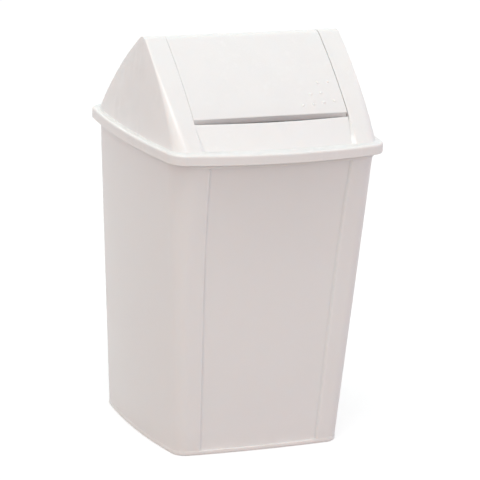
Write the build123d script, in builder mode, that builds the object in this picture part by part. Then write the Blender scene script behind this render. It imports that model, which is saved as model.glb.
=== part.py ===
from build123d import *
import math
import os

# A kitchen bin with a swing lid. The tub stands on the ground plane, the hood drops over
# the rim of the tub, and the flap swings in two sockets just under the ridge of the hood.
# X runs across the bin, the front faces -Y, and the origin is at the middle of the base.

# Height of the ledge above the ground, and what is stacked above and below it
ledge_height = 488.0
slope_rise = 149.4
fascia_rise = 34.5
skirt_depth = 16.4
shoulder_show = 5.6
foot_band = 7.0

# Tub plan at the foot: half sizes at the middle of each side, and how far the sides bow out
foot_half_x = 149.4
foot_half_y = 148.0
foot_side_bow = 12.6
foot_front_bow = 5.0
foot_corner = 23.0

# Tub plan at the shoulder under the rim, set in from the skirt
shoulder_side_margin = 10.2
shoulder_front_margin = 12.0
shoulder_side_bow = 14.0
shoulder_front_bow = 16.0
shoulder_corner = 47.0

# The front and back walls lean out steadily, then flare towards the rim
front_lean = 0.03
flare_start = 250.0

# Tub shell
tub_wall = 2.5
foot_recess = 5.0
foot_ring = 9.0
foot_step = 0.5
foot_round = 3.0
shoulder_step = 2.7
rim_lip_depth = 10.0
rim_lip_wall = 2.2
wall_stations = (0.0, 0.27, 0.53, 0.7, 0.86, 1.0)

# Shallow panels in the front and back walls of the tub, and the posts left beside them
post_foot = 35.8
post_shoulder = 46.2
panel_depth = 3.5
panel_step = 4.0
panel_round = 2.5

# Skirt of the hood, which covers the rim of the tub
skirt_half_x = 191.0
skirt_half_y = 192.5
skirt_side_bow = 14.1
skirt_front_bow = 23.2
skirt_corner = 29.0
skirt_wall = 2.4
skirt_top_round = 3.6
skirt_foot_round = 0.9

# Gabled body of the hood, set in from the skirt by the ledge
hood_wall = 2.4
ledge_side = 10.4
ledge_front = 29.5
gable_bow = 12.5
gable_draft = 3.6
gable_corner = 27.0
apex_corner = 1.5
apex_half = 2.5
slope_bulge = 7.0
ridge_round = 20.0
gable_foot_round = 1.5
gable_stations = (0.0, 0.25, 0.5, 0.75, 1.0)

# Opening for the flap, with a web down each side of it
opening_half = 130.2
web_wall = 2.4
web_depth = 14.0
web_cover = 0.3
ledge_return = 1.0

# Fascia between the foot of the opening and the ledge
fascia_inset = 4.0
fascia_bow = 10.0
fascia_top_step = 0.5
fascia_foot_step = 7.5
fascia_round = 1.0
fascia_overlap = 0.4

# Swing flap
flap_side_gap = 1.4
flap_wall = 2.2
flap_set_back = 2.0
flap_foot_gap = 5.0
flap_lip = 12.0
flap_edge_round = 2.6
flap_side_round = 1.1
flap_web_depth = 12.0

# Pivot just under the ridge
pivot_drop = 14.0
pin_radius = 4.0
pin_length = 8.0
pin_clearance = 0.05
hub_radius = 8.5
hub_length = 2.0
socket_radius = 8.0
socket_length = 10.0

# Push dots on the front leaf: each row's count, its margin above the foot and its fall per dot
dot_pitch = 18.3
dot_radius = 2.8
dot_rise = 1.4
dot_root = 0.5
dot_counts = (4, 3, 2)
dot_margins = (22.0, 38.0, 56.0)
dot_drops = (1.9, 1.2, 0.6)
dot_side_margin = 15.8

# Fits between the pieces
lid_seat_gap = 0.3
lid_side_gap = 1.0


def between(start, end, share):
    return start + (end - start) * share


def bowed_plan(half_x, half_y, side_bow, front_bow, corner):
    """Rounded rectangle in plan whose four sides bow outwards."""
    corner_x = half_x - side_bow
    corner_y = half_y - front_bow
    with BuildSketch() as plan:
        with BuildLine():
            ThreePointArc((-corner_x, -corner_y), (0, -half_y), (corner_x, -corner_y))
            ThreePointArc((corner_x, -corner_y), (half_x, 0), (corner_x, corner_y))
            ThreePointArc((corner_x, corner_y), (0, half_y), (-corner_x, corner_y))
            ThreePointArc((-corner_x, corner_y), (-half_x, 0), (-corner_x, -corner_y))
        make_face()
        fillet(plan.vertices(), radius=corner)
    return plan.sketch


def skirt_plan(inset):
    """Plan of the hood's skirt, set in from its outer face."""
    half_x = skirt_half_x - inset
    half_y = skirt_half_y - inset
    return bowed_plan(half_x, half_y, skirt_side_bow, skirt_front_bow, skirt_corner - inset)


def tub_sizes(height, inset):
    """Half sizes, bows and corner of the tub wall at a height, set in from its outer face."""
    share = height / shoulder_height
    flare = max(0.0, (height - flare_start) / (shoulder_height - flare_start)) ** 2
    half_x = between(foot_half_x, shoulder_half_x, share) - inset
    half_y = foot_half_y + front_lean * height + flare_reach * flare - inset
    side_bow = between(foot_side_bow, shoulder_side_bow, share)
    front_bow = between(foot_front_bow, shoulder_front_bow, flare)
    corner = between(foot_corner, shoulder_corner, flare) - inset
    return half_x, half_y, side_bow, front_bow, corner


def plain_tub_plan(height, inset):
    """Plan of the tub at a height without its panels."""
    return bowed_plan(*tub_sizes(height, inset))


def panelled_tub_plan(height, inset):
    """Plan of the tub wall at a height, with a shallow panel in its front and in its back."""
    half_x, half_y, side_bow, front_bow, corner = tub_sizes(height, inset)
    corner_x = half_x - side_bow
    corner_y = half_y - front_bow
    step_angle = math.atan2(panel_depth, panel_step)
    post = between(post_foot, post_shoulder, height / shoulder_height)
    panel_edge = corner_x + inset - post - inset * math.tan(step_angle / 2)
    panel_foot = panel_edge - panel_step
    post_middle = between(panel_edge, corner_x, 0.5)

    def on_wall(x, set_in=0.0):
        return x, half_y - front_bow * (x / corner_x) ** 2 - set_in

    with BuildSketch() as plan:
        with BuildLine():
            with BuildLine() as wall:
                ThreePointArc(on_wall(-corner_x), on_wall(-post_middle), on_wall(-panel_edge))
                Line(on_wall(-panel_edge), on_wall(-panel_foot, panel_depth))
                ThreePointArc(on_wall(-panel_foot, panel_depth), on_wall(0, panel_depth),
                              on_wall(panel_foot, panel_depth))
                Line(on_wall(panel_foot, panel_depth), on_wall(panel_edge))
                ThreePointArc(on_wall(panel_edge), on_wall(post_middle), on_wall(corner_x))
            mirror(wall.line, about=Plane.XZ)
            ThreePointArc((corner_x, -corner_y), (half_x, 0), (corner_x, corner_y))
            ThreePointArc((-corner_x, corner_y), (-half_x, 0), (-corner_x, -corner_y))
        make_face()
        steps = plan.vertices().filter_by(lambda point: abs(point.X) < post_middle)
        fillet(steps, radius=panel_round)
        corners = plan.vertices().filter_by(lambda point: abs(point.X) > corner_x - panel_round)
        fillet(corners, radius=corner)
    return plan.sketch


def slope_reach(height, inset=0.0):
    """How far the slope stands from the ridge line at a height, set in square to its face."""
    radius = slope_radius - inset
    return math.sqrt(radius**2 - (height - slope_centre_height) ** 2) - slope_centre_reach


def slope_height(reach, inset=0.0):
    """Height at which the slope stands a distance from the ridge line, the way back from above."""
    radius = slope_radius - inset
    return slope_centre_height + math.sqrt(radius**2 - (slope_centre_reach + reach) ** 2)


def gable_plan(height, inset, front_inset=0.0):
    """Plan of the hood at a height: straight fronts, bowed gable ends and soft corners."""
    share = (height - ledge_height) / slope_rise
    half_y = slope_reach(height, inset) - front_inset
    bow = gable_bow * (1 - share)
    half_x = gable_half_x - (gable_bow + gable_draft) * share - inset
    corner = between(apex_corner, gable_corner, (1 - share) ** 2)
    with BuildSketch() as plan:
        with BuildLine():
            Line((bow - half_x, -half_y), (half_x - bow, -half_y))
            ThreePointArc((half_x - bow, -half_y), (half_x, 0), (half_x - bow, half_y))
            Line((half_x - bow, half_y), (bow - half_x, half_y))
            ThreePointArc((bow - half_x, half_y), (-half_x, 0), (bow - half_x, -half_y))
        make_face()
        fillet(plan.vertices(), radius=corner)
    return plan.sketch


def gable_profile(inset, foot_height):
    """End view of the slopes and ridge, set in from the hood's outer face, down to a height."""
    apex = slope_height(0, inset)
    middle = between(foot_height, apex, 0.5)
    foot_reach = slope_reach(foot_height, inset)
    middle_reach = slope_reach(middle, inset)
    with BuildSketch() as profile:
        with BuildLine():
            ThreePointArc((-foot_reach, foot_height), (-middle_reach, middle), (0, apex))
            ThreePointArc((0, apex), (middle_reach, middle), (foot_reach, foot_height))
            Line((foot_reach, foot_height), (-foot_reach, foot_height))
        make_face()
        fillet(profile.vertices().sort_by(Axis.Y)[-1], radius=ridge_round - inset)
    return profile.sketch


def fascia_plan(height, end_step):
    """Plan of the front fascia at a height, bowed between its two slanted end steps."""
    half = opening_half - end_step
    slope_y = web_cover - slope_reach(height)
    end_y = slope_y + fascia_inset
    middle_y = end_y - fascia_bow
    outer = opening_half + fascia_overlap
    inner_half = half - fascia_inset * math.tan(math.pi / 8)
    with BuildSketch() as plan:
        with BuildLine():
            Polyline((-outer, slope_y + fascia_wall), (-outer, slope_y), (-half, end_y))
            ThreePointArc((-half, end_y), (0, middle_y), (half, end_y))
            Polyline((half, end_y), (outer, slope_y), (outer, slope_y + fascia_wall),
                     (inner_half, end_y + fascia_wall))
            ThreePointArc((inner_half, end_y + fascia_wall), (0, middle_y + fascia_wall),
                          (-inner_half, end_y + fascia_wall))
            Line((-inner_half, end_y + fascia_wall), (-outer, slope_y + fascia_wall))
        make_face()
    return plan.sketch


def leaf_plane(across, height):
    """Plane on the outer face of the flap's front leaf, facing outwards."""
    reach = slope_reach(height, flap_set_back)
    outwards = (0, -reach - slope_centre_reach, height - slope_centre_height)
    return Plane(origin=(across, -reach, height), x_dir=(1, 0, 0), z_dir=outwards)


# Heights that follow from the ledge
skirt_bottom = ledge_height - skirt_depth
ledge_underside = ledge_height - skirt_wall
rim_top = ledge_underside - lid_seat_gap
rim_underside = rim_top - tub_wall
rim_lip_bottom = rim_top - rim_lip_depth
shoulder_height = skirt_bottom - shoulder_show
shoulder_top = shoulder_height + tub_wall
floor_height = foot_recess + tub_wall
fascia_height = ledge_height + fascia_rise
flap_foot_height = fascia_height + flap_foot_gap

# Half widths that follow from the skirt and the opening
rim_inset = skirt_wall + lid_side_gap
shoulder_half_x = skirt_half_x - shoulder_side_margin
shoulder_half_y = skirt_half_y - shoulder_front_margin
flare_reach = shoulder_half_y - foot_half_y - front_lean * shoulder_height
gable_half_x = skirt_half_x - ledge_side
gable_half_y = skirt_half_y - ledge_front
flap_half = opening_half - flap_side_gap

# The slope is one arc from the ledge to the apex, about a centre beyond the far side
slope_chord = math.hypot(gable_half_y, slope_rise)
slope_radius = (slope_chord**2 / 4 + slope_bulge**2) / (2 * slope_bulge)
centre_drop = (slope_radius - slope_bulge) / slope_chord
slope_centre_reach = slope_rise * centre_drop - gable_half_y / 2
slope_centre_height = ledge_height + slope_rise / 2 - gable_half_y * centre_drop
gable_top = slope_height(apex_half)
ridge_centre = slope_height(0, ridge_round)
ridge_height = ridge_centre + ridge_round
ridge_trim_width = 2 * ridge_round * slope_centre_reach / (slope_radius - ridge_round)
hollow_top = ridge_height - hood_wall * math.sqrt(2)
pivot_height = ridge_height - pivot_drop

# The fascia leans back with the slope, so its wall is measured level across that lean
fascia_lean = (slope_reach(ledge_underside) - slope_reach(fascia_height)) / (fascia_rise + skirt_wall)
fascia_wall = hood_wall * math.hypot(1, fascia_lean)

# Foot of the flap's front leaf, in the end view, and the ball that a push dot is the cap of
flap_foot = leaf_plane(0, flap_foot_height)
flap_tip = Vector(flap_foot.origin.Y, flap_foot.origin.Z)
foot_inward = Vector(-flap_foot.z_dir.Y, -flap_foot.z_dir.Z)
foot_upward = Vector(flap_foot.y_dir.Y, flap_foot.y_dir.Z)
dot_ball = (dot_radius**2 + dot_rise**2) / (2 * dot_rise)

# Tub: panelled tapering walls on a recessed foot, with a shoulder and a turned-down rim
with BuildPart() as tub:
    for station in wall_stations:
        level = between(foot_band, shoulder_height, station)
        with BuildSketch(Plane.XY.offset(level)):
            add(panelled_tub_plan(level, 0))
    loft()
    with BuildSketch():
        add(plain_tub_plan(foot_band, -foot_step))
    extrude(amount=foot_band)
    fillet(tub.edges().group_by(Axis.Z)[0], radius=foot_round)
    with BuildSketch(Plane.XY.offset(shoulder_height)):
        add(plain_tub_plan(shoulder_height, -shoulder_step))
    extrude(amount=rim_top - shoulder_height)
    with BuildSketch(Plane.XY.offset(rim_lip_bottom)):
        add(skirt_plan(rim_inset))
    extrude(amount=rim_lip_depth)
    with BuildSketch(Plane.XY.offset(rim_lip_bottom)):
        add(skirt_plan(rim_inset + rim_lip_wall))
        add(plain_tub_plan(shoulder_height, -shoulder_step), mode=Mode.SUBTRACT)
    extrude(amount=rim_underside - rim_lip_bottom, mode=Mode.SUBTRACT)
    with BuildSketch():
        add(plain_tub_plan(foot_band, foot_ring))
    extrude(amount=foot_recess, mode=Mode.SUBTRACT)
    for station in wall_stations:
        level = between(floor_height, shoulder_top, station)
        with BuildSketch(Plane.XY.offset(level)):
            add(panelled_tub_plan(level, tub_wall))
    loft(mode=Mode.SUBTRACT)
    with BuildSketch(Plane.XY.offset(shoulder_top)):
        add(plain_tub_plan(shoulder_height, tub_wall - shoulder_step))
    extrude(amount=rim_top - shoulder_top, mode=Mode.SUBTRACT)
tub.part.label = "tub"


# Fascia: the bowed panel under the front opening, set back between the two slopes
with BuildPart() as fascia:
    for level, end_step in ((ledge_underside, fascia_foot_step), (fascia_height, fascia_top_step)):
        with BuildSketch(Plane.XY.offset(level)):
            add(fascia_plan(level, end_step))
    loft()
    top_edges = fascia.edges().group_by(Axis.Z)[-1].sort_by(SortBy.LENGTH)[-2:]
    fillet(top_edges, radius=fascia_round)

# Hood: skirt and ledge, gabled shell, fascias, and a web with a socket at each end of the flap
with BuildPart() as hood:
    with BuildSketch(Plane.XY.offset(skirt_bottom)):
        add(skirt_plan(0))
    extrude(amount=ledge_height - skirt_bottom)
    fillet(hood.edges().group_by(Axis.Z)[-1], radius=skirt_top_round)
    fillet(hood.edges().group_by(Axis.Z)[0], radius=skirt_foot_round)
    for station in gable_stations:
        level = between(ledge_underside, gable_top, station)
        with BuildSketch(Plane.XY.offset(level)):
            add(gable_plan(level, 0))
    loft()
    with BuildSketch(Plane.YZ):
        with Locations((0, ridge_centre)):
            Rectangle(ridge_trim_width, ridge_round * 2, align=(Align.CENTER, Align.MIN))
            Circle(ridge_round, mode=Mode.SUBTRACT)
    extrude(amount=gable_half_x, both=True, mode=Mode.SUBTRACT)
    ledge = hood.faces().filter_by(Axis.Z).filter_by(lambda face: face.inner_wires())
    fillet(ledge[0].inner_wires()[0].edges(), radius=gable_foot_round)
    with BuildSketch(Plane.XY.offset(skirt_bottom)):
        add(skirt_plan(skirt_wall))
    extrude(amount=ledge_underside - skirt_bottom, mode=Mode.SUBTRACT)
    with BuildSketch(Plane.XY.offset(ledge_underside)):
        add(gable_plan(ledge_height, hood_wall + ledge_return, fascia_inset))
    extrude(amount=skirt_wall, mode=Mode.SUBTRACT)
    for station in gable_stations:
        level = between(ledge_height, hollow_top, station)
        with BuildSketch(Plane.XY.offset(level)):
            add(gable_plan(level, hood_wall))
    loft(mode=Mode.SUBTRACT)
    with BuildSketch(Plane.XY.offset(ledge_height)):
        Rectangle(opening_half * 2, gable_half_y * 2 + fascia_bow)
    extrude(amount=ridge_height - ledge_height + ridge_round, mode=Mode.SUBTRACT)
    for side in (-1, 1):
        web_start = side * (opening_half + web_wall / 2) - web_wall / 2
        with BuildSketch(Plane.YZ.offset(web_start)):
            add(gable_profile(web_cover, ledge_underside))
            add(gable_profile(web_depth, ledge_underside), mode=Mode.SUBTRACT)
        extrude(amount=web_wall)
        with BuildSketch(Plane.YZ.offset(side * opening_half)):
            with Locations((0, pivot_height)):
                Circle(socket_radius)
        extrude(amount=side * socket_length)
        with BuildSketch(Plane.YZ.offset(side * opening_half)):
            with Locations((0, pivot_height)):
                Circle(pin_radius + pin_clearance)
        extrude(amount=side * pin_length, mode=Mode.SUBTRACT)
    add(fascia.part)
    mirror(fascia.part, about=Plane.XZ)
hood.part.label = "hood"

# Push dot: the cap of a ball, with its root buried in the leaf
with BuildPart() as push_dot:
    with Locations((0, 0, dot_rise - dot_ball)):
        Sphere(dot_ball)
    split(bisect_by=Plane.XY.offset(-dot_root), keep=Keep.TOP)

# Swing flap: two leaves over a rounded ridge, with turned-in feet, side webs and stub pins
with BuildPart() as swing_flap:
    with BuildSketch(Plane.YZ.offset(-flap_half)) as leaves:
        add(gable_profile(flap_set_back, flap_foot_height))
        add(gable_profile(flap_set_back + flap_wall, flap_foot_height), mode=Mode.SUBTRACT)
        with BuildLine():
            Polyline(flap_tip, flap_tip + foot_inward * flap_lip,
                     flap_tip + foot_inward * flap_lip + foot_upward * flap_wall,
                     flap_tip + foot_inward * (flap_wall / 2) + foot_upward * flap_wall, close=True)
        make_face()
        mirror(about=Plane.YZ)
        fillet(leaves.vertices().sort_by_distance(flap_tip)[0], radius=flap_edge_round)
        fillet(leaves.vertices().sort_by_distance(Vector(-flap_tip.X, flap_tip.Y))[0],
               radius=flap_edge_round)
    extrude(amount=flap_half * 2)
    ridge_ends = swing_flap.faces().filter_by(Axis.X).edges().group_by(Axis.Z)[-1]
    fillet(ridge_ends, radius=flap_side_round)
    for side in (-1, 1):
        web_start = side * (flap_half - flap_wall / 2) - flap_wall / 2
        with BuildSketch(Plane.YZ.offset(web_start)):
            add(gable_profile(flap_set_back + flap_side_round, flap_foot_height + flap_lip))
            add(gable_profile(flap_set_back + flap_web_depth, flap_foot_height),
                mode=Mode.SUBTRACT)
        extrude(amount=flap_wall)
        with BuildSketch(Plane.YZ.offset(side * flap_half)):
            with Locations((0, pivot_height)):
                Circle(hub_radius)
        extrude(amount=-side * hub_length)
        with BuildSketch(Plane.YZ.offset(side * flap_half)):
            with Locations((0, pivot_height)):
                Circle(pin_radius)
        extrude(amount=side * pin_length)
    for count, margin, drop in zip(dot_counts, dot_margins, dot_drops):
        for column in range(count):
            across = flap_half - dot_side_margin - column * dot_pitch
            height = flap_foot_height + (margin - column * drop) * foot_upward.Y
            with Locations(leaf_plane(across, height)):
                add(push_dot.part)
swing_flap.part.label = "swing_flap"

os.makedirs("parts", exist_ok=True)
export_step(tub.part, "parts/tub.step")
export_step(hood.part, "parts/hood.step")
export_step(swing_flap.part, "parts/swing_flap.step")
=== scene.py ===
"""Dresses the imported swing-lid bin: moulded finishes, soft studio light, pale floor and camera."""
import logging
import math
from dataclasses import dataclass, field
from enum import Enum

import bmesh
import bpy
import numpy as np
from mathutils import Matrix, Vector


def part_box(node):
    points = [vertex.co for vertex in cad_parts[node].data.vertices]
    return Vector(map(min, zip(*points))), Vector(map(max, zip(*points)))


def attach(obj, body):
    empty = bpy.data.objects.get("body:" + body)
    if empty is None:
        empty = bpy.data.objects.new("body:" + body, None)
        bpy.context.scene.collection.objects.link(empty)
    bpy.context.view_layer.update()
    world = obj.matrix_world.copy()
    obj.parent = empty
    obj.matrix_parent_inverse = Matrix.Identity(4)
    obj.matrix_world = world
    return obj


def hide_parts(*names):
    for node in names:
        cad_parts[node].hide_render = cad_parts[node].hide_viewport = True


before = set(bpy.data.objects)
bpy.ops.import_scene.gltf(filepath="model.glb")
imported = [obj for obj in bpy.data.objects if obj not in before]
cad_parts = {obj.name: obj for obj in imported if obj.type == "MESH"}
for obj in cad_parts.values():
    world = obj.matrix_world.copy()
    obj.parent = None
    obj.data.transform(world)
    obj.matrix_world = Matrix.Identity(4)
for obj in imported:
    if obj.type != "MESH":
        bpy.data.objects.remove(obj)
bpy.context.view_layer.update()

MM = 0.001
SHARP_DEGREES = 40.0
PLAIN_WHITE = (1.0, 1.0, 1.0, 1.0)

# Places of the colour sockets on a Mix node: its share, first and second inputs, and its result
MIX_SHARE, MIX_FIRST, MIX_SECOND, MIX_RESULT = 0, 6, 7, 2

logger = logging.getLogger("swing_lid_bin")

Colour = tuple[float, float, float]


class Body(Enum):
    """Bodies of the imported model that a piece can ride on."""

    TUB = "tub"
    FLAP = "flap"


class NodeName(Enum):
    """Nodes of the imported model."""

    TUB = "tub"
    HOOD = "hood"
    FLAP = "swing_flap"


def socket(node: bpy.types.Node, name: str) -> bpy.types.NodeSocket:
    """Find an input of a node by name.

    Args:
        node: The shader node.
        name: The input's name.

    Returns:
        The first enabled input of that name.
    """
    return next(s for s in node.inputs if s.name == name and s.enabled)


def put_in_scene(name: str, data: bpy.types.ID) -> bpy.types.Object:
    """Make an object and add it to the scene.

    Args:
        name: The object's name.
        data: Its mesh, light or camera.

    Returns:
        The new object.
    """
    made = bpy.data.objects.new(name, data)
    bpy.context.scene.collection.objects.link(made)
    return made


def coat(pieces: list[bpy.types.Object], material: bpy.types.Material) -> None:
    """Give pieces one material in place of any they have."""
    for piece in pieces:
        piece.data.materials.clear()
        piece.data.materials.append(material)


@dataclass
class NodeBench:
    """A small bench for laying out and wiring shader nodes in one tree."""

    tree: bpy.types.NodeTree
    column: int = 0

    def add(self, kind: str, **settings: object) -> bpy.types.Node:
        """Add a node and set its properties.

        Args:
            kind: The node's type name.
            **settings: Properties of the node, by name.

        Returns:
            The new node.
        """
        node = self.tree.nodes.new(kind)
        for name, value in settings.items():
            setattr(node, name, value)
        node.location = (self.column * 200, 0)
        self.column += 1
        return node

    def link(self, source: bpy.types.NodeSocket, target: bpy.types.NodeSocket) -> None:
        """Join an output to an input."""
        self.tree.links.new(source, target)

    def feed(self, value: object, target: bpy.types.NodeSocket) -> None:
        """Give an input its value, which is another node's output or a constant."""
        if isinstance(value, bpy.types.NodeSocket):
            self.link(value, target)
        else:
            target.default_value = value

    def maths(
        self, operation: str, first: object, second: object = 0.0, clamp: bool = False
    ) -> bpy.types.NodeSocket:
        """Combine two values, each a number or an output.

        Args:
            operation: The Math node's operation.
            first: The first number or output.
            second: The second number or output.
            clamp: Whether the result is kept between 0 and 1.

        Returns:
            The result's output.
        """
        node = self.add("ShaderNodeMath", operation=operation, use_clamp=clamp)
        for index, value in enumerate((first, second)):
            self.feed(value, node.inputs[index])
        return node.outputs[0]

    def blend(self, share: object, first: object, second: object) -> bpy.types.NodeSocket:
        """Mix two colours, each a constant or an output.

        Args:
            share: How much of the second colour shows.
            first: The first colour.
            second: The second colour.

        Returns:
            The mixed colour's output.
        """
        node = self.add("ShaderNodeMix", data_type="RGBA")
        for index, value in ((MIX_SHARE, share), (MIX_FIRST, first), (MIX_SECOND, second)):
            self.feed(value, node.inputs[index])
        return node.outputs[MIX_RESULT]

    def noise(
        self, vector: bpy.types.NodeSocket, scale: object, detail: float, rough: float
    ) -> bpy.types.NodeSocket:
        """Sample smooth noise between 0 and 1 at a position.

        Args:
            vector: The position.
            scale: Waves in a metre, a number or an output.
            detail: How many finer layers are added.
            rough: How strong the finer layers are.

        Returns:
            The noise's output.
        """
        node = self.add("ShaderNodeTexNoise")
        self.link(vector, socket(node, "Vector"))
        self.feed(scale, socket(node, "Scale"))
        socket(node, "Detail").default_value = detail
        socket(node, "Roughness").default_value = rough
        return node.outputs[0]

    def spread(
        self, value: bpy.types.NodeSocket, low: float, high: float, to_low: float, to_high: float
    ) -> bpy.types.NodeSocket:
        """Carry a value from one range to another, held at its ends.

        Args:
            value: The output to carry over.
            low: Start of the first range.
            high: End of the first range.
            to_low: Start of the second range.
            to_high: End of the second range.

        Returns:
            The carried value's output.
        """
        node = self.add("ShaderNodeMapRange", clamp=True)
        self.link(value, socket(node, "Value"))
        for name, number in (("From Min", low), ("From Max", high), ("To Min", to_low), ("To Max", to_high)):
            socket(node, name).default_value = number
        return node.outputs[0]


class SharedGroups:
    """Shader node groups that every moulded finish places with its own values."""

    # Layers and roughness of each noise
    FINE_GRAIN = (2.0, 0.6)
    SLOW_WAVE = (1.0, 0.4)
    SCUFF_STREAK = (4.0, 0.7)
    DUST_PATCH = (3.0, 0.6)

    # Scuffs are noise drawn out upright, and only its peaks show
    STREAKS_PER_METRE = 90.0
    STREAK_STRETCH = (1.0, 1.0, 0.2)
    STREAK_RANGE = (0.55, 0.75)

    # Dust lies everywhere a little, and more in patches
    PATCHES_PER_METRE = 26.0
    PATCH_RANGE = (0.35, 0.7)
    LEAST_DUST = 0.3

    @staticmethod
    def start(
        name: str, inputs: tuple[tuple[str, str], ...], outputs: tuple[tuple[str, str], ...]
    ) -> NodeBench:
        """Open a node group with its named sockets.

        Args:
            name: The group's name.
            inputs: Name and type of each input.
            outputs: Name and type of each output.

        Returns:
            A bench on the group's tree.
        """
        tree = bpy.data.node_groups.new(name, "ShaderNodeTree")
        for in_out, sockets in (("INPUT", inputs), ("OUTPUT", outputs)):
            for title, kind in sockets:
                tree.interface.new_socket(name=title, in_out=in_out, socket_type=kind)
        return NodeBench(tree)

    @classmethod
    def tool_grain(cls) -> bpy.types.NodeTree:
        """Make the satin grain of a blasted mould with the slow waviness of a cooled wall.

        Returns:
            The group, which puts out a height and a gloss mask.
        """
        number, vector = "NodeSocketFloat", "NodeSocketVector"
        bench = cls.start(
            "tool_grain",
            (("Vector", vector), ("Grain", number), ("Wave", number), ("Wave Share", number)),
            (("Height", number), ("Mask", number)),
        )
        given = bench.add("NodeGroupInput")
        handed = bench.add("NodeGroupOutput")
        fine = bench.noise(given.outputs["Vector"], given.outputs["Grain"], *cls.FINE_GRAIN)
        slow = bench.noise(given.outputs["Vector"], given.outputs["Wave"], *cls.SLOW_WAVE)
        raised = bench.maths("MULTIPLY", slow, given.outputs["Wave Share"])
        bench.link(bench.maths("ADD", fine, raised), handed.inputs["Height"])
        bench.link(bench.maths("MULTIPLY", fine, slow), handed.inputs["Mask"])
        return bench.tree

    @classmethod
    def handling(cls) -> bpy.types.NodeTree:
        """Make the faint scuffs, drawn out upright all over, and the dust that gathers low on a bin.

        Returns:
            The group, which puts out a scuff mask and a dust mask.
        """
        number, vector = "NodeSocketFloat", "NodeSocketVector"
        bench = cls.start(
            "handling",
            (("Vector", vector), ("Low", number), ("High", number), ("Amount", number)),
            (("Scuff", number), ("Dust", number)),
        )
        given = bench.add("NodeGroupInput")
        handed = bench.add("NodeGroupOutput")
        parts = bench.add("ShaderNodeSeparateXYZ")
        bench.link(given.outputs["Vector"], parts.inputs[0])
        span = bench.maths("SUBTRACT", given.outputs["High"], given.outputs["Low"])
        rise = bench.maths("SUBTRACT", parts.outputs["Z"], given.outputs["Low"])
        settled = bench.maths("SUBTRACT", 1.0, bench.maths("DIVIDE", rise, span), clamp=True)
        stretch = bench.add("ShaderNodeMapping")
        bench.link(given.outputs["Vector"], stretch.inputs["Vector"])
        stretch.inputs["Scale"].default_value = cls.STREAK_STRETCH
        streaks = bench.noise(stretch.outputs[0], cls.STREAKS_PER_METRE, *cls.SCUFF_STREAK)
        scuffed = bench.spread(streaks, *cls.STREAK_RANGE, 0.0, 1.0)
        patches = bench.noise(given.outputs["Vector"], cls.PATCHES_PER_METRE, *cls.DUST_PATCH)
        patchy = bench.spread(patches, *cls.PATCH_RANGE, cls.LEAST_DUST, 1.0)
        dusted = bench.maths("MULTIPLY", patchy, settled)
        bench.link(bench.maths("MULTIPLY", scuffed, given.outputs["Amount"]), handed.inputs["Scuff"])
        bench.link(bench.maths("MULTIPLY", dusted, given.outputs["Amount"]), handed.inputs["Dust"])
        return bench.tree


@dataclass(frozen=True)
class MouldedFinish:
    """Satin moulded polypropylene: pigment, gloss, how far light scatters in it, tool grain and wear."""

    name: str
    pigment: Colour
    shaded_pigment: Colour
    dust: Colour = (0.62, 0.58, 0.54)
    roughness: float = 0.30
    roughness_spread: float = 0.04
    ior: float = 1.49
    specular: float = 0.5
    scatter: float = 1.0
    scatter_depth: float = 3.0 * MM
    scatter_reach: Colour = (1.0, 0.90, 0.85)
    grain_per_metre: float = 1900.0
    wave_per_metre: float = 11.0
    wave_share: float = 1.6
    grain_depth: float = 0.00016
    grain_strength: float = 0.12
    dust_low: float = 0.0
    dust_high: float = 0.04
    dust_amount: float = 0.15
    mask_range: tuple[float, float] = (0.12, 0.4)
    scuff_dulling: float = 0.2

    def build(self, grain: bpy.types.NodeTree, handling: bpy.types.NodeTree) -> bpy.types.Material:
        """Make the material.

        Args:
            grain: The tool grain group.
            handling: The handling group.

        Returns:
            The finished material.
        """
        material = bpy.data.materials.new(self.name)
        material.use_nodes = True
        material.node_tree.nodes.clear()
        bench = NodeBench(material.node_tree)
        place = bench.add("ShaderNodeTexCoord").outputs["Object"]

        texture = bench.add("ShaderNodeGroup", node_tree=grain)
        bench.link(place, texture.inputs["Vector"])
        texture.inputs["Grain"].default_value = self.grain_per_metre
        texture.inputs["Wave"].default_value = self.wave_per_metre
        texture.inputs["Wave Share"].default_value = self.wave_share

        marks = bench.add("ShaderNodeGroup", node_tree=handling)
        bench.link(place, marks.inputs["Vector"])
        marks.inputs["Low"].default_value = self.dust_low
        marks.inputs["High"].default_value = self.dust_high
        marks.inputs["Amount"].default_value = self.dust_amount

        clearness = bench.spread(texture.outputs["Mask"], *self.mask_range, 0.0, 1.0)
        clouded = bench.blend(clearness, (*self.shaded_pigment, 1.0), (*self.pigment, 1.0))
        dusty = bench.blend(marks.outputs["Dust"], clouded, (*self.dust, 1.0))

        low = self.roughness - self.roughness_spread / 2
        high = self.roughness + self.roughness_spread / 2
        satin = bench.spread(texture.outputs["Mask"], *self.mask_range, high, low)
        dulled = bench.maths("MULTIPLY", marks.outputs["Scuff"], self.scuff_dulling)
        worn = bench.maths("ADD", satin, dulled, clamp=True)

        bump = bench.add("ShaderNodeBump")
        bump.inputs["Strength"].default_value = self.grain_strength
        bump.inputs["Distance"].default_value = self.grain_depth
        bench.link(texture.outputs["Height"], bump.inputs["Height"])

        shader = bench.add("ShaderNodeBsdfPrincipled")
        bench.link(dusty, shader.inputs["Base Color"])
        bench.link(worn, shader.inputs["Roughness"])
        bench.link(bump.outputs[0], shader.inputs["Normal"])
        shader.inputs["IOR"].default_value = self.ior
        shader.inputs["Specular IOR Level"].default_value = self.specular
        shader.inputs["Subsurface Weight"].default_value = self.scatter
        shader.inputs["Subsurface Radius"].default_value = self.scatter_reach
        shader.inputs["Subsurface Scale"].default_value = self.scatter_depth
        output = bench.add("ShaderNodeOutputMaterial")
        bench.link(shader.outputs[0], output.inputs["Surface"])
        return material


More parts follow.
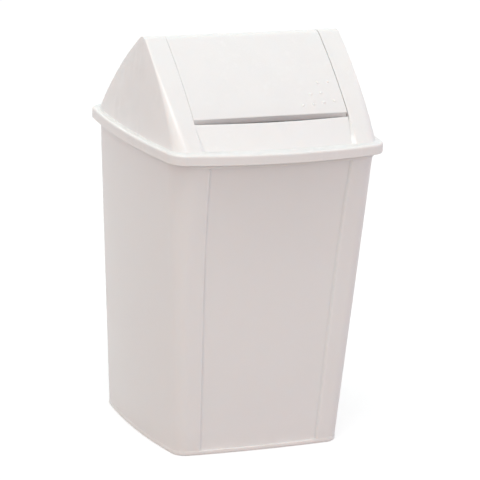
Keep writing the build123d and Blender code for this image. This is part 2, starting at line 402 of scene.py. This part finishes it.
WHITE: Colour = (0.865, 0.860, 0.850)
WHITE_SHADE: Colour = (0.860, 0.854, 0.843)

TUB_FINISH = MouldedFinish("tub_white_satin", WHITE, WHITE_SHADE)
HOOD_FINISH = MouldedFinish(
    "hood_white_satin", WHITE, WHITE_SHADE, roughness=0.28, wave_per_metre=14.0,
    dust_low=0.47, dust_high=0.50, dust_amount=0.10,
)
FLAP_FINISH = MouldedFinish(
    "flap_white_satin", WHITE, WHITE_SHADE, roughness=0.28, wave_per_metre=9.0,
    dust_low=0.52, dust_high=0.55, dust_amount=0.10,
)


def surface_of_revolution(name: str, profile: np.ndarray, steps: int, centre: Vector) -> bpy.types.Object:
    """Turn a profile about a vertical axis.

    Each point of the profile, a radius and a height, goes round the axis in equal steps: x and y are
    the radius times the cosine and sine of the turn, and z is the height.

    Args:
        name: Name of the piece.
        profile: Radii and heights, one row a point, from the axis outwards.
        steps: Number of steps round the axis.
        centre: Where the profile's origin lies.

    Returns:
        The piece, with its place in its mesh.
    """
    turn = np.linspace(0.0, 2.0 * np.pi, steps, endpoint=False)
    radius, height = profile[:, 0], profile[:, 1]
    x = centre.x + radius[:, None] * np.cos(turn)[None, :]
    y = centre.y + radius[:, None] * np.sin(turn)[None, :]
    z = centre.z + np.repeat(height[:, None], steps, axis=1)
    points = np.stack((x, y, z), axis=-1).reshape(-1, 3)
    row = np.arange(len(profile) - 1)[:, None] * steps
    here = np.arange(steps)[None, :]
    beside = (here + 1) % steps
    next_row = row + steps
    quads = np.stack((row + here, row + beside, next_row + beside, next_row + here), axis=-1).reshape(-1, 4)
    mesh = bpy.data.meshes.new(name)
    mesh.from_pydata(points.tolist(), [], quads.tolist())
    mesh.update()
    mesh.shade_smooth()
    return put_in_scene(name, mesh)


def carried_profile(name: str, profile: np.ndarray, half_width: float) -> bpy.types.Object:
    """Carry a closed profile straight across, from one side to the other.

    Each point of the profile, a depth and a height, is repeated at minus and plus the half width, the
    long faces join neighbours on the profile, and the profile itself closes both ends.

    Args:
        name: Name of the piece.
        profile: Places along Y and Z, one row a point, in order round the profile.
        half_width: Half the piece's length along X.

    Returns:
        The piece, with its place in its mesh.
    """
    count = len(profile)
    sides = [np.column_stack((np.full(count, x), profile)) for x in (-half_width, half_width)]
    here = np.arange(count)
    beside = (here + 1) % count
    quads = np.stack((here, beside, beside + count, here + count), axis=-1)
    mesh = bpy.data.meshes.new(name)
    mesh.from_pydata(
        np.vstack(sides).tolist(), [], quads.tolist() + [here[::-1].tolist(), (here + count).tolist()]
    )
    shell = bmesh.new()
    shell.from_mesh(mesh)
    bmesh.ops.recalc_face_normals(shell, faces=shell.faces)
    shell.to_mesh(mesh)
    shell.free()
    mesh.shade_smooth()
    mesh.set_sharp_from_angle(angle=math.radians(SHARP_DEGREES))
    return put_in_scene(name, mesh)


@dataclass
class FlushLeaves:
    """The flap's moulding with its leaves brought up flush with the strips beside them.

    The moulding keeps its form, its pins and its hubs. Only the leaves stand a little higher than on
    the CAD solid, and reach a little nearer to the strips.
    """

    rise: float = 1.6 * MM
    side_reach: float = 0.5 * MM
    slope_degrees: float = 45.0
    ridge_blend: float = 25.0 * MM
    pivot_drop: float = 12.0 * MM
    hub_hold: float = 9.5 * MM
    hub_fade: float = 2.0 * MM
    web_depth: float = 4.0 * MM
    side_face: float = 1.0 * MM
    pin_reach: float = 8.0 * MM

    def moved(self, points: np.ndarray) -> np.ndarray:
        """Move points of the flap to where the flush leaves have them.

        A point goes along its leaf's normal, which turns smoothly from upright at the ridge to the
        slope's angle a short way down, and a point on a side face goes out by the side reach. Points
        near the pivot's axis at the sides stay, with a short fade round them.

        Args:
            points: Places in the frame, one row a point.

        Returns:
            The moved places.
        """
        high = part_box(NodeName.FLAP.value)[1]
        half = high[0] - self.pin_reach
        depth, height = points[:, 1], points[:, 2]
        share = np.clip(np.abs(depth) / self.ridge_blend, 0.0, 1.0)
        angle = np.sign(depth) * share ** 2 * (3.0 - 2.0 * share) * math.radians(self.slope_degrees)
        reach = np.hypot(depth, height - (high[2] - self.pivot_drop))
        beside = np.abs(points[:, 0]) > half - self.web_depth
        free = np.where(beside, np.clip((reach - self.hub_hold) / self.hub_fade, 0.0, 1.0), 1.0)
        outer = free * (np.abs(points[:, 0]) > half - self.side_face) * np.sign(points[:, 0])
        shift = np.column_stack((
            outer * self.side_reach,
            free * self.rise * np.sin(angle),
            free * self.rise * np.cos(angle),
        ))
        return points + shift

    def build(self) -> bpy.types.Object:
        """Build the moulding from its CAD node's surface.

        Returns:
            The piece, riding on the flap in the node's stead.
        """
        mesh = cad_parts[NodeName.FLAP.value].data.copy()
        mesh.name = "flap_moulding"
        points = np.empty(len(mesh.vertices) * 3)
        mesh.vertices.foreach_get("co", points)
        mesh.vertices.foreach_set("co", self.moved(points.reshape(-1, 3)).ravel())
        mesh.update()
        piece = put_in_scene("flap_moulding", mesh)
        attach(piece, Body.FLAP.value)
        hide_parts(NodeName.FLAP.value)
        return piece


@dataclass
class TurnedLip:
    """The turned-down face along the foot of each leaf of the flap, which closes the slit to the eye."""

    edge_round: float = 2.6 * MM
    edge_rise: float = 8.43 * MM
    wall: float = 2.2 * MM
    lean_degrees: float = 9.0
    drop: float = 9.2 * MM
    side_step: float = 8.6 * MM
    arc_steps: int = 12
    leaves: FlushLeaves = field(default_factory=FlushLeaves)

    def profile(self, side: float) -> np.ndarray:
        """Work out the lip's section on one side.

        The outer face leaves the leaf's rounded edge on its tangent and leans inwards going down, a
        half circle turns round the foot, and the inner face runs back up into the leaf's wall.

        Args:
            side: -1 for the front leaf and 1 for the back leaf.

        Returns:
            Places along Y and Z, one row a point.
        """
        low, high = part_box(NodeName.FLAP.value)
        lean = math.radians(self.lean_degrees)
        outwards = np.array((math.cos(lean), -math.sin(lean)))
        down = np.array((-math.sin(lean), -math.cos(lean)))
        centre = np.array((high[1] - self.edge_round, low[2] + self.edge_rise))
        outer = centre + outwards * self.edge_round
        foot = outer - outwards * self.wall / 2 + down * (self.drop - self.wall / 2)
        turn = np.linspace(0.0, np.pi, self.arc_steps)[:, None]
        arc = foot + self.wall / 2 * (np.cos(turn) * outwards + np.sin(turn) * down)
        inner = outer - outwards * self.wall
        section = np.vstack((outer, arc, inner))
        at_rest = np.column_stack((np.zeros(len(section)), section))
        return self.leaves.moved(at_rest)[:, 1:] * (side, 1.0)

    def build(self) -> list[bpy.types.Object]:
        """Build the lip of both leaves.

        Returns:
            The two pieces, riding on the flap.
        """
        pieces = []
        half_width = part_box(NodeName.FLAP.value)[1][0] - self.side_step
        for name, side in (("flap_front_lip", -1.0), ("flap_back_lip", 1.0)):
            piece = carried_profile(name, self.profile(side), half_width)
            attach(piece, Body.FLAP.value)
            pieces.append(piece)
        return pieces


@dataclass
class GateMark:
    """The moulding gate in the middle of the tub's underside: a short stub in a low raised ring."""

    recess_height: float = 5.0 * MM
    ring_radius: float = 9.0 * MM
    ring_drop: float = 0.5 * MM
    stub_radius: float = 2.0 * MM
    stub_drop: float = 1.4 * MM
    tip_share: float = 0.8
    edge_gap: float = 0.1 * MM
    samples: int = 9
    steps: int = 48

    def build(self) -> bpy.types.Object:
        """Build the mark as one turned profile, from the stub's tip out to the edge of its ring.

        Returns:
            The piece, riding on the tub.
        """
        share = np.linspace(0.0, 1.0, self.samples)
        swell = self.tip_share + (1.0 - self.tip_share) * np.sin(share * np.pi / 2)
        tip = np.column_stack((
            self.stub_radius * self.tip_share * share,
            np.full_like(share, -self.stub_drop),
        ))
        wall = np.column_stack((
            self.stub_radius * swell,
            -self.stub_drop + (self.stub_drop - self.edge_gap) * share,
        ))
        ring = np.column_stack((
            self.stub_radius + (self.ring_radius - self.stub_radius) * share,
            -self.edge_gap - self.ring_drop * np.sin(share * np.pi) ** 2,
        ))
        profile = np.vstack((tip[1:], wall[1:], ring[1:]))
        centre = Vector((0.0, 0.0, self.recess_height))
        piece = surface_of_revolution("tub_gate_mark", profile, self.steps, centre)
        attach(piece, Body.TUB.value)
        return piece


@dataclass
class Tub:
    """The container: its CAD shell and the gate mark under it."""

    finish: MouldedFinish = TUB_FINISH
    gate: GateMark = field(default_factory=GateMark)

    def dress(self, grain: bpy.types.NodeTree, handling: bpy.types.NodeTree) -> list[bpy.types.Object]:
        """Finish the shell and its mark.

        Args:
            grain: The tool grain group.
            handling: The handling group.

        Returns:
            The dressed pieces.
        """
        pieces = [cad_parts[NodeName.TUB.value], self.gate.build()]
        coat(pieces, self.finish.build(grain, handling))
        return pieces


@dataclass
class Hood:
    """The lid housing, whose shape is its CAD node."""

    finish: MouldedFinish = HOOD_FINISH

    def dress(self, grain: bpy.types.NodeTree, handling: bpy.types.NodeTree) -> list[bpy.types.Object]:
        """Finish the moulding.

        Args:
            grain: The tool grain group.
            handling: The handling group.

        Returns:
            The dressed piece, in a list.
        """
        pieces = [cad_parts[NodeName.HOOD.value]]
        coat(pieces, self.finish.build(grain, handling))
        return pieces


@dataclass
class SwingFlap:
    """The two-leaf flap: its moulding with flush leaves, and the turned-down lips at its feet."""

    finish: MouldedFinish = FLAP_FINISH
    leaves: FlushLeaves = field(default_factory=FlushLeaves)
    lip: TurnedLip = field(default_factory=TurnedLip)

    def dress(self, grain: bpy.types.NodeTree, handling: bpy.types.NodeTree) -> list[bpy.types.Object]:
        """Finish the moulding and its lips.

        Args:
            grain: The tool grain group.
            handling: The handling group.

        Returns:
            The dressed pieces.
        """
        pieces = [self.leaves.build(), *self.lip.build()]
        coat(pieces, self.finish.build(grain, handling))
        return pieces


@dataclass(frozen=True)
class SoftLamp:
    """A round softbox that is aimed at the bin."""

    name: str
    place: tuple[float, float, float]
    width: float
    energy: float
    aim: tuple[float, float, float] = (0.0, 0.0, 0.45)

    def hang(self) -> None:
        """Make the lamp and turn it to its aim."""
        light = bpy.data.lights.new(self.name, "AREA")
        light.shape = "DISK"
        light.size = self.width
        light.energy = self.energy
        lamp = put_in_scene(self.name, light)
        lamp.location = self.place
        lamp.rotation_euler = (Vector(self.aim) - lamp.location).to_track_quat("-Z", "Y").to_euler()


@dataclass
class Studio:
    """A pale tent that is brightest in front, two softboxes, and a floor with a faint shadow."""

    tent_above: Colour = (0.49, 0.70, 0.63)
    tent_left: Colour = (0.74, 0.52, 0.55)
    tent_right: Colour = (0.40, 0.20, 0.37)
    tent_front: Colour = (0.87, 0.72, 0.70)
    tent_back: Colour = (0.30, 0.30, 0.30)
    floor_bounce: Colour = (0.50, 0.46, 0.44)
    floor_half: float = 14.0
    floor_glow: float = 0.68
    floor_white: float = 0.40
    lamps: tuple[SoftLamp, ...] = (
        SoftLamp("high_softbox", (-0.5, -0.9, 3.0), 0.8, 16.0),
        SoftLamp("back_softbox", (0.1, 2.6, 2.2), 1.2, 8.0),
    )

    def build(self) -> None:
        """Make the world, the floor and the lamps."""
        self._world()
        self._floor()
        for lamp in self.lamps:
            lamp.hang()

    @staticmethod
    def _seen_directly(bench: NodeBench) -> bpy.types.NodeSocket:
        """Tell the rays that should meet the plain white background from those that light the object.

        Args:
            bench: The bench of the material or world.

        Returns:
            An output that is 1 for camera, glossy and transmitted rays.
        """
        rays = bench.add("ShaderNodeLightPath")
        clear = bench.maths("MAXIMUM", rays.outputs["Is Camera Ray"], rays.outputs["Is Transmission Ray"])
        return bench.maths("MAXIMUM", clear, rays.outputs["Is Glossy Ray"])

    def _world(self) -> None:
        """Make the tent: each wall's light grows with the part of the direction that points at it."""
        world = bpy.data.worlds.new("studio_tent")
        bpy.context.scene.world = world
        world.use_nodes = True
        world.node_tree.nodes.clear()
        bench = NodeBench(world.node_tree)
        parts = bench.add("ShaderNodeSeparateXYZ")
        bench.link(bench.add("ShaderNodeTexCoord").outputs["Generated"], parts.inputs[0])
        walls = (
            (parts.outputs["Z"], 1.0, self.tent_above),
            (parts.outputs["X"], -1.0, self.tent_left),
            (parts.outputs["X"], 1.0, self.tent_right),
            (parts.outputs["Y"], -1.0, self.tent_front),
            (parts.outputs["Y"], 1.0, self.tent_back),
        )
        total = None
        for component, sign, colour in walls:
            facing = bench.maths("MAXIMUM", bench.maths("MULTIPLY", component, sign), 0.0)
            wall = bench.add("ShaderNodeVectorMath", operation="SCALE")
            wall.inputs[0].default_value = colour
            bench.link(facing, socket(wall, "Scale"))
            if total is None:
                total = wall.outputs[0]
                continue
            joined = bench.add("ShaderNodeVectorMath", operation="ADD")
            bench.link(total, joined.inputs[0])
            bench.link(wall.outputs[0], joined.inputs[1])
            total = joined.outputs[0]
        lit = bench.add("ShaderNodeBackground")
        bench.link(total, lit.inputs["Color"])
        lit.inputs["Strength"].default_value = 1.0
        seen = bench.add("ShaderNodeBackground")
        seen.inputs["Color"].default_value = PLAIN_WHITE
        seen.inputs["Strength"].default_value = 1.0
        mixed = bench.add("ShaderNodeMixShader")
        bench.link(self._seen_directly(bench), mixed.inputs[0])
        bench.link(lit.outputs[0], mixed.inputs[1])
        bench.link(seen.outputs[0], mixed.inputs[2])
        bench.link(mixed.outputs[0], bench.add("ShaderNodeOutputWorld").inputs["Surface"])

    def _floor(self) -> None:
        """Make the floor: a dull bounce for the object, and near white with its shadow for the camera."""
        half = self.floor_half
        mesh = bpy.data.meshes.new("studio_floor")
        corners = [(-half, -half, 0), (half, -half, 0), (half, half, 0), (-half, half, 0)]
        mesh.from_pydata(corners, [], [(0, 1, 2, 3)])
        floor = put_in_scene("studio_floor", mesh)
        material = bpy.data.materials.new("studio_floor_pale")
        material.use_nodes = True
        material.node_tree.nodes.clear()
        bench = NodeBench(material.node_tree)
        bounce = bench.add("ShaderNodeBsdfDiffuse")
        bounce.inputs["Color"].default_value = (*self.floor_bounce, 1.0)
        shade = bench.add("ShaderNodeBsdfDiffuse")
        shade.inputs["Color"].default_value = (self.floor_white, self.floor_white, self.floor_white, 1.0)
        glow = bench.add("ShaderNodeEmission")
        glow.inputs["Strength"].default_value = self.floor_glow
        shown = bench.add("ShaderNodeAddShader")
        bench.link(shade.outputs[0], shown.inputs[0])
        bench.link(glow.outputs[0], shown.inputs[1])
        mixed = bench.add("ShaderNodeMixShader")
        bench.link(self._seen_directly(bench), mixed.inputs[0])
        bench.link(bounce.outputs[0], mixed.inputs[1])
        bench.link(shown.outputs[0], mixed.inputs[2])
        bench.link(mixed.outputs[0], bench.add("ShaderNodeOutputMaterial").inputs["Surface"])
        mesh.materials.append(material)


@dataclass
class PhotoCamera:
    """The camera at the photograph's place: a long lens, about 25 degrees to the side and 15 above."""

    side_degrees: float = 25.370
    down_degrees: float = 15.367
    roll_degrees: float = -3.046
    distance: float = 5.0342
    aim_height: float = 0.3175
    focal_pixels: float = 3200.0
    image_pixels: float = 480.0
    middle_x: float = 230.434
    middle_y: float = 228.989
    sensor_width: float = 36.0
    clip_near: float = 0.1
    clip_far: float = 60.0

    def build(self) -> None:
        """Place the camera so that the bin falls where the photograph shows it.

        The camera looks along the aim direction from its distance. The bin's middle lies off the
        picture's middle, so the camera is moved sideways by that many pixels at the aim's distance.
        """
        side, down, roll = np.radians((self.side_degrees, self.down_degrees, self.roll_degrees)).tolist()
        right = Vector((math.cos(side), -math.sin(side), 0.0))
        ahead = Vector((math.sin(side) * math.cos(down), math.cos(side) * math.cos(down), -math.sin(down)))
        up = right.cross(ahead)
        rolled_right = right * math.cos(roll) - up * math.sin(roll)
        rolled_up = right * math.sin(roll) + up * math.cos(roll)
        pixel = self.distance / self.focal_pixels
        half = self.image_pixels / 2
        place = Vector((0.0, 0.0, self.aim_height)) - ahead * self.distance
        place -= rolled_right * (self.middle_x - half) * pixel
        place += rolled_up * (self.middle_y - half) * pixel
        data = bpy.data.cameras.new("photo_camera")
        data.sensor_width = self.sensor_width
        data.lens = self.focal_pixels * self.sensor_width / self.image_pixels
        data.clip_start, data.clip_end = self.clip_near, self.clip_far
        camera = put_in_scene("photo_camera", data)
        turn = Matrix((rolled_right, rolled_up, -ahead)).transposed()
        camera.matrix_world = Matrix.Translation(place) @ turn.to_4x4()
        bpy.context.scene.camera = camera


def clear_startup() -> None:
    """Take away the objects that a new file starts with."""
    for name in ("Cube", "Light", "Camera"):
        if name in bpy.data.objects:
            bpy.data.objects.remove(bpy.data.objects[name])


def main() -> None:
    """Build the stage, then dress each moulding, and report the pieces."""
    logging.basicConfig(level=logging.INFO, format="%(name)s: %(message)s")
    bpy.context.scene.view_settings.view_transform = "Standard"
    clear_startup()
    PhotoCamera().build()
    Studio().build()
    grain = SharedGroups.tool_grain()
    handling = SharedGroups.handling()
    for assembly in (Tub(), Hood(), SwingFlap()):
        for piece in assembly.dress(grain, handling):
            logger.info("dressed %s, %d faces", piece.name, len(piece.data.polygons))


if __name__ == "__main__":
    main()
